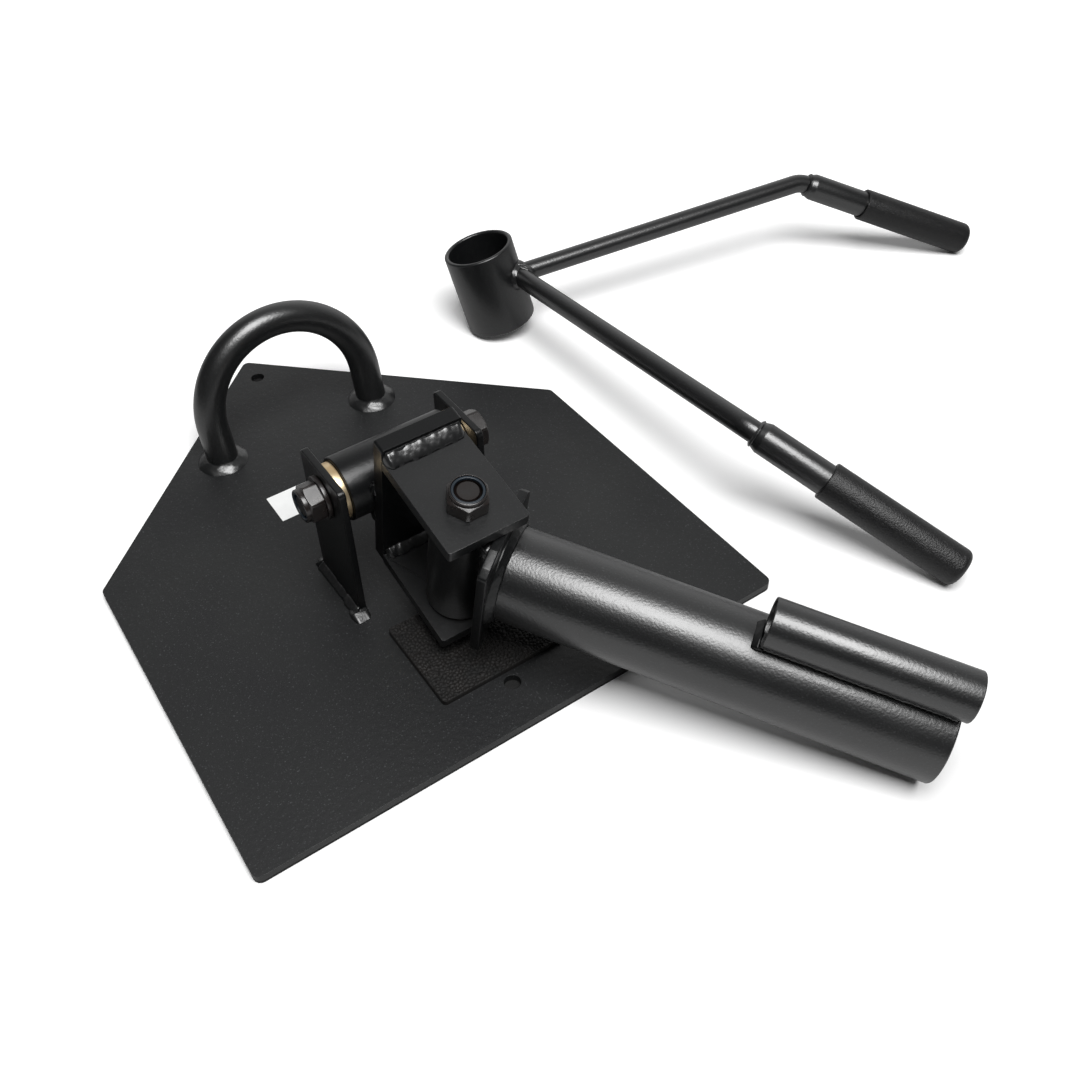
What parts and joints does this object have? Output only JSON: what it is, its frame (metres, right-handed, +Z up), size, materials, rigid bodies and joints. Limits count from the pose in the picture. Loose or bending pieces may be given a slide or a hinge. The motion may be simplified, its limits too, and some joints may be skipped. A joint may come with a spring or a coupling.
{
  "type": "barbell pivot attachment",
  "caption": "Floor plate with upright ears, a tilting yoke and a swinging open sleeve for the end of a barbell, a carrying handle, and a loose V-shaped handle with a collar.",
  "frame": {"origin": "on the floor, straight below the middle of the pivot bolt, on the underside of the rubber sheet", "axes": "+X along the pivot bolt from the lock nut to the bolt head, +Y to the back, where the carrying handle stands, +Z up"},
  "size_m": [0.8258, 0.615, 0.1529],
  "materials": {
    "coat": "satin black powder coat",
    "tube_coat": "semi-gloss black powder coat",
    "rubber": "matte, pebbled",
    "grip": "matte, fine grain",
    "bronze": "oiled sintered bronze",
    "black_zinc": "glossy black zinc",
    "plain_steel": "turned",
    "nylon": "semi-matte"
  },
  "bodies": {
    "base": {"base_plate": "coat", "floor_pad": "rubber", "bumper_pad": "rubber", "ear_left": "coat", "ear_right": "coat", "carry_handle": "tube_coat", "pivot_bolt": "black_zinc", "pivot_nut": "black_zinc", "pivot_nut_insert": "nylon", "pivot_washer_left": "black_zinc", "pivot_washer_right": "black_zinc", "pivot_axle_sleeve": "plain_steel"},
    "yoke": {"pivot_tube": "tube_coat", "pivot_bush_left": "bronze", "pivot_bush_right": "bronze", "yoke_web": "coat", "yoke_top_plate": "coat", "yoke_bottom_plate": "coat", "swivel_bolt": "black_zinc", "swivel_nut": "black_zinc", "swivel_nut_insert": "nylon", "swivel_axle_sleeve": "plain_steel"},
    "sleeve": {"swivel_barrel": "tube_coat", "swivel_bush_top": "bronze", "swivel_bush_bottom": "bronze", "sleeve_end_plate": "coat", "bar_sleeve": "tube_coat", "small_sleeve": "tube_coat"},
    "v_handle": {"handle_collar": "tube_coat", "handle_arm_left": "tube_coat", "handle_arm_right": "tube_coat", "handle_grip_tube_left": "tube_coat", "handle_grip_tube_right": "tube_coat", "handle_grip_left": "grip", "handle_grip_right": "grip"}
  },
  "joints": [
    {"name": "pitch", "type": "hinge", "parent": "base", "child": "yoke", "pos_m": [0, 0, 0.0944], "axis": [-1, 0, 0], "range_deg": [0, 175]},
    {"name": "swivel", "type": "hinge", "parent": "yoke", "child": "sleeve", "pos_m": [0, -0.08134, 0.07932], "axis": [0, -0.2072, 0.9783], "range_deg": [-125.5, 22]},
    {"name": "handle_lift", "type": "slide", "parent": "base", "child": "v_handle", "axis": [0, 0, 1], "range_m": [0, 0.3]}
  ]
}
